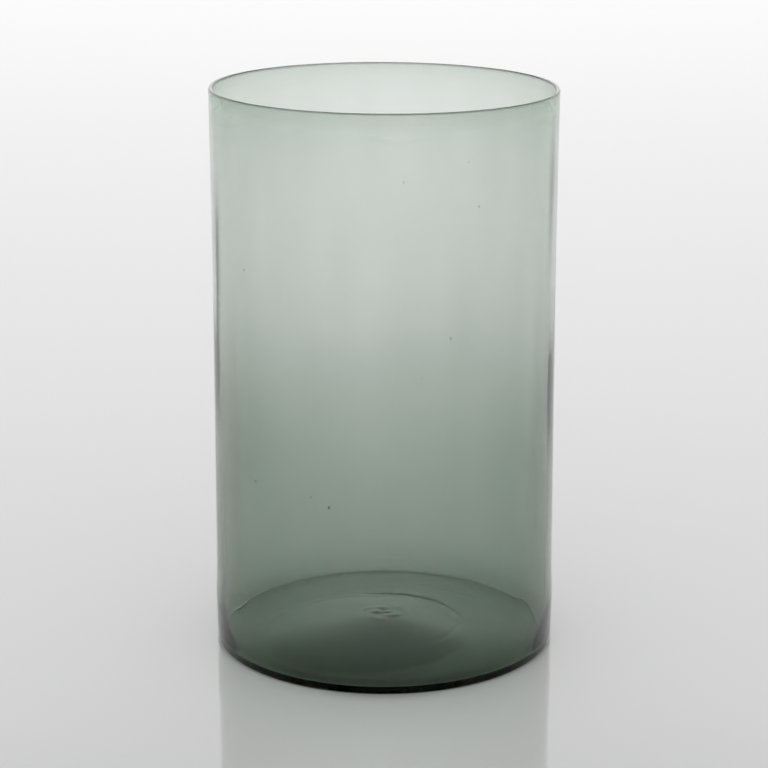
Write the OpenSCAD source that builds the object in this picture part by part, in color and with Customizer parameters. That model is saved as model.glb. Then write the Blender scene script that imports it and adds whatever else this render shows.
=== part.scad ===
// Cylinder vase for cut flowers: one piece of mouth-blown smoke-green glass.
// The wall, the heel, the kicked-up base and the fire-polished lip are one
// continuous skin of glass, so the whole vase is a single revolved solid.
// Origin: centre of the circle that it stands on. +Z runs up its axis. Millimetres.

/* [Outside] */
// Height from the table to the top of the lip
height = 250; // [180:1:320]
// Outer diameter at the waist, the narrowest place
waist_od = 150.1; // [120:0.1:180]
// Height of the waist
waist_z = 168; // [120:1:175]
// How far the radius opens from the waist up to the lip
mouth_flare = 0.5; // [0:0.1:3]
// How far the radius grows from the waist down to the belly
low_flare = 0.6; // [0:0.1:3]
// How far the low belly stands proud of the wall above it
belly = 0.45; // [0:0.05:2]
// Height of the belly's fullest place
belly_z = 20; // [16:1:30]
// Radius of the rounded heel, where the wall turns into the base
heel_r = 2.2; // [1:0.1:4]

/* [Glass thickness] */
// Wall thickness of the thin upper part
wall = 0.8; // [0.8:0.1:3]
// Extra thickness of the wall below its middle
body_extra = 1.3; // [0:0.1:2]
// Height at which half of that extra thickness is left
body_z = 120; // [80:1:160]
// Further extra thickness that the wall gains down at the heel
foot_extra = 2; // [0:0.1:4]
// Height over which most of the heel's extra thickness fades out
foot_fade = 10; // [8:1:60]
// Full thickness of the fire-polished lip
lip = 2; // [1.5:0.1:4]
// Height over which the wall swells to the lip
lip_fade = 11; // [3:0.5:15]
// Thickness of the base at its edge
base = 2.7; // [2:0.1:6]
// Extra thickness that the base gains towards its middle
base_extra = 1.7; // [0:0.1:3]

/* [Base] */
// Width of the flat ring that it stands on
ring_w = 10; // [3:0.5:14]
// How far the underside swells up from the ring towards the middle
swell = 1.3; // [0:0.1:4]
// Height of the kicked-up hump in the middle of the base, above that swell
hump = 3.8; // [0:0.1:8]
// Radius of the hump at its foot, where the base has a crease
hump_r = 34; // [15:1:40]
// Radius of the inside corner between the wall and the base
corner_r = 1; // [0.5:0.1:4]

/* [Hidden] */
$fn = 180;
// The flare below the waist is complete at this height
flare_z = 40;
// Half height of the belly's bulge
belly_w = 12;
// Height over which the thick lower wall thins to the upper one
body_fade = 14;
// Height between the points that draw the wall
wall_step = 6;
// Depths below the lip of the points that draw how the wall swells to it
lip_steps = [24, 17, 12, 8, 4];
// Points on a quarter turn of the heel, the inside corner and the lip
arc_n = 7;
// Steps from the axis to the foot of the hump, and on from there to the edge
hump_n = 8;
swell_n = 6;
// 2 would make the hump or the swell a round dome; less draws it towards a cone
hump_power = 1.3;
swell_power = 1.6;

lip_r = lip / 2;
lip_z = height - lip_r;

function sq(v) = v * v;
function over(v) = max(0, v);
function bell(v) = exp(-sq(v));

// Outer radius of the wall at height z
function outer(z) = waist_od / 2
    + mouth_flare * sq(over(z - waist_z) / (height - waist_z))
    + low_flare * min(1, over(waist_z - z) / (waist_z - flare_z))
    + belly * bell((z - belly_z) / belly_w);

// Wall thickness at height z, and the radius of the hollow there
function glass(z) = wall
    + body_extra / (1 + exp((z - body_z) / body_fade))
    + foot_extra * exp(-z / foot_fade)
    + (lip - wall) * exp(-(lip_z - z) / lip_fade);
function inner(z) = outer(z) - glass(z);

// Height at radius r of a dome of height top, whose edge is at radius edge
function dome(r, edge, top, power) = r >= edge ? 0 : top * (1 - pow(r / edge, power));

// Height of the underside at radius r, and of the floor inside, above the base's edge
function under(r, edge) = dome(r, edge, swell, swell_power) + dome(r, hump_r, hump, hump_power);
function floor_z(r, edge) = base + under(r, edge) + dome(r, edge, base_extra, 2);

// Radii from the axis, over the hump's foot, to just short of edge
function radii(edge) = concat(
    [for (i = [0:hump_n - 1]) hump_r * i / hump_n],
    [for (i = [0:swell_n - 1]) hump_r + (edge - hump_r) * i / swell_n]);

heel_x = outer(heel_r) - heel_r;
ring_x = heel_x - ring_w;
corner_z = base + corner_r;
corner_x = inner(corner_z) - corner_r;

function arc(x, z, r, a0, a1, n) =
    [for (i = [0:n]) let (a = a0 + (a1 - a0) * i / n) [x + r * cos(a), z + r * sin(a)]];
function heights(z0, z1) = let (n = ceil((z1 - z0) / wall_step))
    [for (i = [1:n - 1]) z0 + (z1 - z0) * i / n];
function backwards(list) = [for (i = [len(list) - 1:-1:0]) list[i]];

// The section from the axis, round the outside and over the lip to the inside
underside = concat([for (r = radii(ring_x)) [r, under(r, ring_x)]], [[ring_x, 0]]);
heel = arc(heel_x, heel_r, heel_r, -90, 0, arc_n);
outer_wall = [for (z = heights(heel_r, lip_z)) [outer(z), z]];
lip_arc = arc(outer(lip_z) - lip_r, lip_z, lip_r, 0, 180, 2 * arc_n);
inner_z = concat(heights(corner_z, lip_z - lip_steps[0]), [for (d = lip_steps) lip_z - d]);
inner_wall = [for (z = backwards(inner_z)) [inner(z), z]];
corner = arc(corner_x, corner_z, corner_r, 0, -90, arc_n);
floor_top = [for (r = backwards(radii(corner_x))) [r, floor_z(r, corner_x)]];

module vase_body()
    color([0.42, 0.50, 0.45, 0.45])
        rotate_extrude()
            polygon(concat(underside, heel, outer_wall, lip_arc, inner_wall, corner, floor_top));

vase_body();
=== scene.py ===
import math

import bpy
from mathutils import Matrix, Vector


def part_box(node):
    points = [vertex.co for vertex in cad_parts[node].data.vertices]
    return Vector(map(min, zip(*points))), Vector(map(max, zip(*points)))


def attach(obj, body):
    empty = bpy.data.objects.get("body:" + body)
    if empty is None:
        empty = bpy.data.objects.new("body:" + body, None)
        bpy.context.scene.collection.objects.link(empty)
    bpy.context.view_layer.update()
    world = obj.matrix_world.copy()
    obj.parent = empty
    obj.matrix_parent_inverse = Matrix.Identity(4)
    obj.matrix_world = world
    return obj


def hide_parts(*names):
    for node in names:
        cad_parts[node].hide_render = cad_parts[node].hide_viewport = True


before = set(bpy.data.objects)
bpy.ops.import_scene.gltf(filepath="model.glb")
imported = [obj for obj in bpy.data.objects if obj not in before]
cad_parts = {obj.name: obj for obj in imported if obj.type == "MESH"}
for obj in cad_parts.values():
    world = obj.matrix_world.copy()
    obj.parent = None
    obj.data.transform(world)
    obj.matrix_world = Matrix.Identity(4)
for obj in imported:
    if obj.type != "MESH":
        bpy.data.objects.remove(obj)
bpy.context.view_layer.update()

# ---------------------------------------------------------------- the vase's sizes
# Metres. The height and the greatest radius come from the CAD part's box. The rest repeats the part's
# sizes, which part.scad explains under the same names, in millimetres for a vase 250 high.
low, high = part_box("vase_body")
HEIGHT = high[2]
MM = HEIGHT / 250.0
WAIST_Z, FLARE_Z = 168 * MM, 40 * MM
MOUTH_FLARE, LOW_FLARE = 0.5 * MM, 0.6 * MM
BELLY, BELLY_Z, BELLY_W = 0.45 * MM, 20 * MM, 12 * MM
INSIDE_CAD = 0.02 * MM      # keeps the glass within the CAD's box
WAIST_R = high[0] - LOW_FLARE - BELLY - INSIDE_CAD
HEEL_R = 2.2 * MM
WALL, BODY_EXTRA, BODY_Z, BODY_FADE = 0.8 * MM, 1.3 * MM, 120 * MM, 14 * MM
FOOT_EXTRA, FOOT_FADE = 2.0 * MM, 10 * MM
LIP, LIP_FADE = 2.0 * MM, 11 * MM
BASE, BASE_EXTRA, RING_W = 2.7 * MM, 1.7 * MM, 10 * MM
SWELL, SWELL_POWER = 1.3 * MM, 1.6
HUMP, HUMP_R, HUMP_POWER = 3.8 * MM, 34 * MM, 1.3
CORNER_R = 1.0 * MM
LIP_R = LIP / 2
LIP_Z = HEIGHT - LIP_R

# How far the hand-made glass strays from a perfect solid of revolution. Sums of sines, with turns and
# phases that don't line up, stand in for chance.
LIP_TILT = 0.4 * MM         # the lip is level in CAD; here its middle is this much lower, +X twice as much
THICK_WANDER = 7 * MM       # the thick lower wall ends at a wandering height
CORD = 0.035 * MM           # faint upright cords on the wall's inner face
WAVE = 0.05 * MM            # slow waves on its inner face
OUT_OF_ROUND = 0.02 * MM    # slow hollows on its outer face
TRUE_FOOT = 8 * MM          # the wall is true up to here, and starts to stray
TRUE_FADE = 20 * MM         # it strays fully this much further up
TRUE_LIP = 12 * MM          # it turns true again over this height below the lip

# What the blower's tools left on the floor inside
SHARP_SIDE = math.radians(55)
HUMP_WIDER = 30 * MM        # the hump's foot is wider by this, and soft, opposite SHARP_SIDE
SWIRL, SWIRL_AT, SWIRL_W = 0.12 * MM, 4 * MM, 6 * MM
DIMPLE, DIMPLE_W = 0.3 * MM, 4.5 * MM
CREASE, CREASE_W = 0.45 * MM, 1.5 * MM
CREASE_SIDE = math.radians(40)
CREASE_WIDER = 4 * MM       # the crease lies this much further out opposite CREASE_SIDE
RING, RING_R, RING_STRAY, RING_LINE_W = 0.06 * MM, 50 * MM, 1.5 * MM, 1.3 * MM
SMOOTH_EDGE = 4 * MM        # these marks fade out over this width at the floor's edge

# Seeds, the small bubbles in the wall, as (angle in degrees, height, half width, half length) in
# millimetres. An angle of -90 faces the camera.
SEEDS = [
    (-84, 222, 0.28, 0.52), (-63, 229, 0.26, 0.44), (-59, 210, 0.30, 0.50), (-100, 178, 0.23, 0.39),
    (-78, 140, 0.34, 0.55), (-66, 143, 0.23, 0.36), (-137, 88, 0.39, 0.60), (-108, 83, 0.44, 0.72),
    (-125, 236, 0.26, 0.42), (20, 190, 0.30, 0.52), (64, 120, 0.39, 0.57), (96, 208, 0.26, 0.44),
    (150, 160, 0.30, 0.47), (188, 60, 0.44, 0.65), (118, 42, 0.39, 0.55), (-20, 34, 0.39, 0.62),
]

# Points in the mesh: round the axis, and along each stretch of the section
AROUND = 288
UNDER_N, STAND_N, HEEL_N, OUTER_N, LIP_N, INNER_N, CORNER_N, FLOOR_N = 34, 4, 12, 66, 20, 84, 9, 70
GATHER = 1.4                # above 1, the points inside the wall lie closer together towards the lip


def outer(z):
    """Outer radius of the wall at height z."""
    r = WAIST_R
    r += MOUTH_FLARE * (max(0, z - WAIST_Z) / (HEIGHT - WAIST_Z)) ** 2
    r += LOW_FLARE * min(1, max(0, WAIST_Z - z) / (WAIST_Z - FLARE_Z))
    return r + BELLY * math.exp(-((z - BELLY_Z) / BELLY_W) ** 2)


def away(z):
    """1 along the free wall, fading to 0 at the heel and at the lip, so that those stay true."""
    return min(1, max(0, z - TRUE_FOOT) / TRUE_FADE) * min(1, max(0, LIP_Z - z) / TRUE_LIP)


def glass(z, a):
    """Thickness of the wall at height z and angle a."""
    body_z = BODY_Z + THICK_WANDER * (0.6 * math.sin(2 * a + 0.7) + 0.3 * math.sin(5 * a + 2.1)
                                      + 0.25 * math.sin(11 * a + 4.0))
    t = WALL + BODY_EXTRA / (1 + math.exp((z - body_z) / BODY_FADE))
    t += FOOT_EXTRA * math.exp(-z / FOOT_FADE) + (LIP - WALL) * math.exp(-(LIP_Z - z) / LIP_FADE)
    stray = WAVE * math.sin(3 * a + 1.3 + 14 * z / HEIGHT) * math.sin(9 * z / HEIGHT + 0.4)
    wide_cords = math.sin(17 * a + 3 * math.sin(4 * z / HEIGHT))
    fine_cords = 0.6 * math.sin(29 * a + 1.9 * z / HEIGHT + 2)
    stray += CORD * (wide_cords + fine_cords)
    return t + stray * away(z)


def dome(r, edge, top, power):
    """Height at radius r of a dome of height top, whose edge is at radius edge."""
    return 0.0 if r >= edge else top * (1 - (r / edge) ** power)


def near(a, side):
    """1 at the angle side, falling to 0 on the opposite side."""
    return 0.5 + 0.5 * math.cos(a - side)


def under(r, edge, a):
    """Height of the underside at radius r and angle a."""
    foot = HUMP_R + HUMP_WIDER * (1 - near(a, SHARP_SIDE)) ** 1.5
    return dome(r, edge, SWELL, SWELL_POWER) + dome(r, foot, HUMP, HUMP_POWER)


def bell(v, width):
    """1 where v is 0, falling to nothing over a few widths."""
    return math.exp(-(v / width) ** 2)


def relief(r, a):
    """The marks on the floor inside: a swirl and a dimple at the middle, a crease round the hump and a
    faint ring further out, the last two stronger towards SHARP_SIDE."""
    swirl = math.sin(2 * a + 0.5 * r / MM + 0.6) + 0.8 * math.sin(3 * a - 0.8 * r / MM + 2)
    swirl *= SWIRL * bell(r - SWIRL_AT, SWIRL_W)
    dimple = DIMPLE * bell(r, DIMPLE_W)
    side = near(a, SHARP_SIDE) ** 2
    crease_r = HUMP_R + CREASE_WIDER * (1 - near(a, CREASE_SIDE))
    crease = CREASE * side * bell(r - crease_r, CREASE_W)
    ring = RING * side * bell(r - RING_R - RING_STRAY * math.sin(a), RING_LINE_W)
    return swirl - dimple - crease - ring


def floor_z(r, edge, a):
    """Height of the floor inside at radius r and angle a."""
    z = BASE + under(r, edge, a) + dome(r, edge, BASE_EXTRA, 2)
    return z + relief(r, a) * min(1, max(0, edge - r) / SMOOTH_EDGE)


HEEL_X = outer(HEEL_R) - HEEL_R
RING_X = HEEL_X - RING_W
CORNER_Z = BASE + CORNER_R


def arc(x, z, r, a0, a1, n):
    """Points of an arc about (x, z), from a0 to a1 degrees."""
    for i in range(n + 1):
        t = math.radians(a0 + (a1 - a0) * i / n)
        yield x + r * math.cos(t), z + r * math.sin(t)


def section(a):
    """The glass's section at angle a round the axis: (radius, height) from the axis underneath, round
    the outside and over the lip, down the inside and back to the axis. Always the same count."""
    pts = [(RING_X * i / UNDER_N, under(RING_X * i / UNDER_N, RING_X, a)) for i in range(UNDER_N)]
    pts += [(RING_X + RING_W * i / STAND_N, 0.0) for i in range(STAND_N)]
    pts += arc(HEEL_X, HEEL_R, HEEL_R, -90, 0, HEEL_N)
    for i in range(1, OUTER_N):
        z = HEEL_R + (LIP_Z - HEEL_R) * i / OUTER_N
        hollow = OUT_OF_ROUND * away(z) * (1 + math.sin(2 * a + 5 * z / HEIGHT))
        pts.append((outer(z) - hollow, z))
    pts += arc(outer(LIP_Z) - LIP_R, LIP_Z, LIP_R, 0, 180, LIP_N)
    for i in range(1, INNER_N):
        z = LIP_Z - (LIP_Z - CORNER_Z) * (i / INNER_N) ** GATHER
        pts.append((outer(z) - glass(z, a), z))
    corner_x = outer(CORNER_Z) - glass(CORNER_Z, a) - CORNER_R
    pts += arc(corner_x, CORNER_Z, CORNER_R, 0, -90, CORNER_N)
    for i in reversed(range(FLOOR_N)):
        r = corner_x * i / FLOOR_N
        pts.append((r, floor_z(r, corner_x, a)))
    return pts


def tilt(x, z):
    """Lowers the lip towards +X. The tilt grows from nothing at the waist."""
    t = max(0, z - WAIST_Z) / (HEIGHT - WAIST_Z)
    return z - LIP_TILT * t * t * (1 + x / WAIST_R)


def quads(rows, columns, at):
    """Faces between neighbouring rows and columns of points, where at gives a point's index. A face
    that meets a pole becomes a triangle."""
    for i in range(rows):
        for k in range(columns):
            quad = [at(i, k), at(i, k + 1), at(i + 1, k + 1), at(i + 1, k)]
            yield [v for n, v in enumerate(quad) if v not in quad[:n]]


def seed_bubble(verts, faces, a, z, half, long):
    """A seed: a small closed bubble inside the wall, with its skin facing the air in it."""
    r = outer(z) - glass(z, a) / 2
    start = len(verts)
    rings, seg = 8, 12
    for i in range(rings + 1):
        t = math.pi * i / rings
        for j in range(seg if 0 < i < rings else 1):
            b = 2 * math.pi * j / seg
            out = half * math.sin(t) * math.cos(b)
            side = half * math.sin(t) * math.sin(b)
            x = (r + out) * math.cos(a) - side * math.sin(a)
            y = (r + out) * math.sin(a) + side * math.cos(a)
            verts.append((x, y, tilt(x, z + long * math.cos(t))))

    def at(i, j):
        if i == 0:
            return start
        if i == rings:
            return start + 1 + (rings - 1) * seg
        return start + 1 + (i - 1) * seg + j % seg

    faces.extend(quads(rings, seg, at))


def vase_mesh():
    """The glass as one closed skin, from a pole under the base to a pole on the floor, and its seeds."""
    angles = [2 * math.pi * k / AROUND for k in range(AROUND)]
    cuts = [section(a) for a in angles]
    count = len(cuts[0])
    middle_z = sum(cut[-1][1] for cut in cuts) / AROUND
    verts = [(0, 0, cuts[0][0][1])]
    for i in range(1, count - 1):
        for a, cut in zip(angles, cuts):
            r, z = cut[i]
            x, y = r * math.cos(a), r * math.sin(a)
            verts.append((x, y, tilt(x, z)))
    verts.append((0, 0, middle_z))
    last = len(verts) - 1

    def at(i, k):
        if i == 0:
            return 0
        if i == count - 1:
            return last
        return 1 + (i - 1) * AROUND + k % AROUND

    faces = list(quads(count - 1, AROUND, at))
    for degrees, z, half, long in SEEDS:
        seed_bubble(verts, faces, math.radians(degrees), z * MM, half * MM, long * MM)
    mesh = bpy.data.meshes.new("vase_glass")
    mesh.from_pydata(verts, [], faces)
    mesh.update()
    mesh.polygons.foreach_set("use_smooth", [True] * len(mesh.polygons))
    return mesh


# ---------------------------------------------------------------- materials
ABSORB = (234.0, 190.0, 228.0)      # per metre of glass, for red, green and blue


def add(tree, kind, **sockets):
    """A new node, with its sockets set by name. An underscore stands for a space."""
    node = tree.nodes.new(kind)
    for name, value in sockets.items():
        node.inputs[name.replace("_", " ")].default_value = value
    return node


def new_material(name):
    """A new material, its nodes and its main shader."""
    mat = bpy.data.materials.new(name)
    mat.use_nodes = True
    return mat, mat.node_tree, mat.node_tree.nodes["Principled BSDF"]


def uneven_polish(tree, shader, place, noise, grain, finish):
    """Roughness in patches: noise between the two values of grain becomes the two of finish."""
    rough = add(tree, "ShaderNodeMapRange", From_Min=grain[0], From_Max=grain[1],
                To_Min=finish[0], To_Max=finish[1])
    tree.links.new(place.outputs["Object"], noise.inputs["Vector"])
    tree.links.new(noise.outputs["Fac"], rough.inputs["Value"])
    tree.links.new(rough.outputs[0], shader.inputs["Roughness"])


def smoke_glass():
    """Clear polished glass. Its colour comes from the depth of glass that light crosses."""
    mat, tree, shader = new_material("smoke_glass")
    shader.inputs["Base Color"].default_value = (1, 1, 1, 1)
    shader.inputs["IOR"].default_value = 1.5
    shader.inputs["Transmission Weight"].default_value = 1.0

    # The volume absorbs density * (1 - colour), so a density over the greatest share keeps colour above 0
    density = max(ABSORB) * 1.02
    volume = add(tree, "ShaderNodeVolumeAbsorption", Density=density)
    volume.inputs["Color"].default_value = tuple(1 - share / density for share in ABSORB) + (1,)
    tree.links.new(volume.outputs[0], tree.nodes["Material Output"].inputs["Volume"])

    # The mould's skin left soft ripples, long down the wall and short round it
    place = add(tree, "ShaderNodeTexCoord")
    stretch = add(tree, "ShaderNodeMapping", Scale=(1.0, 1.0, 0.22))
    ripple = add(tree, "ShaderNodeTexNoise", Scale=55.0, Detail=2.0, Roughness=0.45)
    bump = add(tree, "ShaderNodeBump", Strength=0.07, Distance=0.0004)
    tree.links.new(place.outputs["Object"], stretch.inputs["Vector"])
    tree.links.new(stretch.outputs[0], ripple.inputs["Vector"])
    tree.links.new(ripple.outputs["Fac"], bump.inputs["Height"])
    tree.links.new(bump.outputs[0], shader.inputs["Normal"])

    # Polish: mirror smooth, with a trace of haze in patches
    haze = add(tree, "ShaderNodeTexNoise", Scale=18.0, Detail=4.0, Roughness=0.6)
    uneven_polish(tree, shader, place, haze, grain=(0.45, 0.8), finish=(0.0, 0.02))
    return mat


def pale_table():
    """A glossy white laminate sheet, faintly uneven, as in a light tent."""
    mat, tree, shader = new_material("pale_table")
    shader.inputs["Base Color"].default_value = (0.93, 0.93, 0.93, 1)
    shader.inputs["IOR"].default_value = 1.5
    place = add(tree, "ShaderNodeTexCoord")
    uneven = add(tree, "ShaderNodeTexNoise", Scale=30.0, Detail=3.0, Roughness=0.5)
    uneven_polish(tree, shader, place, uneven, grain=(0.3, 0.7), finish=(0.04, 0.07))
    return mat


# ---------------------------------------------------------------- the vase
vase = bpy.data.objects.new("vase_glass", vase_mesh())
bpy.context.scene.collection.objects.link(vase)
vase.data.materials.append(smoke_glass())
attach(vase, "root")
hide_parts("vase_body")


# ---------------------------------------------------------------- the studio
TABLE_SIZE = 12
TABLE_GAP = 0.0002      # the sheet lies a hair under the glass, so that the two faces never coincide
LIGHT = 5.2             # the surround's strength, of which the ramp's colours are shares
SIDE_DIM = 0.5          # the share of it that is lost straight towards +X and -X

# The surround's brightness by elevation in degrees: most about a quarter of the way up, dark overhead
SKY = [
    (-90, 0.6), (0, 1.35), (6, 1.38), (12, 1.52), (18, 1.74), (23, 1.91), (27, 1.47), (33, 0.87), (45, 0.34),
    (60, 0.15), (90, 0.15),
]


def table():
    """The sheet that the vase stands on."""
    bpy.ops.mesh.primitive_grid_add(x_subdivisions=8, y_subdivisions=8, size=TABLE_SIZE,
                                    location=(0, 0, -TABLE_GAP))
    sheet = bpy.context.object
    sheet.name = "table"
    sheet.data.materials.append(pale_table())


def brightness_by_elevation(tree, split):
    """Sets the background's colour from the height that the view direction points to."""
    angle = add(tree, "ShaderNodeMath")
    angle.operation = "ARCSINE"
    scale = add(tree, "ShaderNodeMapRange", From_Min=-math.pi / 2, From_Max=math.pi / 2)
    ramp = add(tree, "ShaderNodeValToRGB")
    stops = ramp.color_ramp.elements
    while len(stops) < len(SKY):
        stops.new(0.5)
    for stop, (degrees, value) in zip(stops, SKY):
        stop.position = (degrees + 90) / 180
        stop.color = (value / LIGHT, value / LIGHT, value / LIGHT, 1)
    tree.links.new(split.outputs["Z"], angle.inputs[0])
    tree.links.new(angle.outputs[0], scale.inputs["Value"])
    tree.links.new(scale.outputs[0], ramp.inputs[0])
    tree.links.new(ramp.outputs[0], tree.nodes["Background"].inputs["Color"])


def dimmer_sides(tree, split):
    """Dims the background towards +X and -X, which draws the vase's edges: LIGHT * (1 - SIDE_DIM * x * x)."""
    squared = add(tree, "ShaderNodeMath")
    squared.operation = "MULTIPLY"
    strength = add(tree, "ShaderNodeMath")
    strength.operation = "MULTIPLY_ADD"
    strength.inputs[1].default_value = -SIDE_DIM * LIGHT
    strength.inputs[2].default_value = LIGHT
    tree.links.new(split.outputs["X"], squared.inputs[0])
    tree.links.new(split.outputs["X"], squared.inputs[1])
    tree.links.new(squared.outputs[0], strength.inputs[0])
    tree.links.new(strength.outputs[0], tree.nodes["Background"].inputs["Strength"])


def surround():
    """Soft light all round."""
    world = bpy.data.worlds.new("studio")
    bpy.context.scene.world = world
    world.use_nodes = True
    tree = world.node_tree
    where = add(tree, "ShaderNodeTexCoord")
    split = add(tree, "ShaderNodeSeparateXYZ")
    tree.links.new(where.outputs["Generated"], split.inputs[0])
    brightness_by_elevation(tree, split)
    dimmer_sides(tree, split)


table()
surround()


# ---------------------------------------------------------------- the camera
# Fitted to the lip's ellipse and the outline in the photo
CAMERA_AT = (-0.0001, -1.0163, 0.4007)
CAMERA_DOWN = 15.602    # degrees below level
SENSOR = 36             # millimetres, as the focal length is
FOCAL = 111.43
BLACK = 0.014           # light below this share shows as black, as the photo's blacks are deep

lens = bpy.data.cameras.new("camera")
camera = bpy.data.objects.new("camera", lens)
bpy.context.scene.collection.objects.link(camera)
camera.location = CAMERA_AT
camera.rotation_euler = (math.radians(90 - CAMERA_DOWN), 0, 0)
lens.sensor_width = SENSOR
lens.lens = FOCAL
lens.clip_start = 0.01
bpy.context.scene.camera = camera

scene = bpy.context.scene
scene.view_settings.view_transform = "Standard"
scene.view_settings.use_curve_mapping = True
scene.view_settings.curve_mapping.black_level = (BLACK, BLACK, BLACK)
scene.view_settings.curve_mapping.update()

# Light crosses many faces of glass, and the table mirrors it through them again
scene.cycles.max_bounces = 24
scene.cycles.transmission_bounces = 24
scene.cycles.glossy_bounces = 24
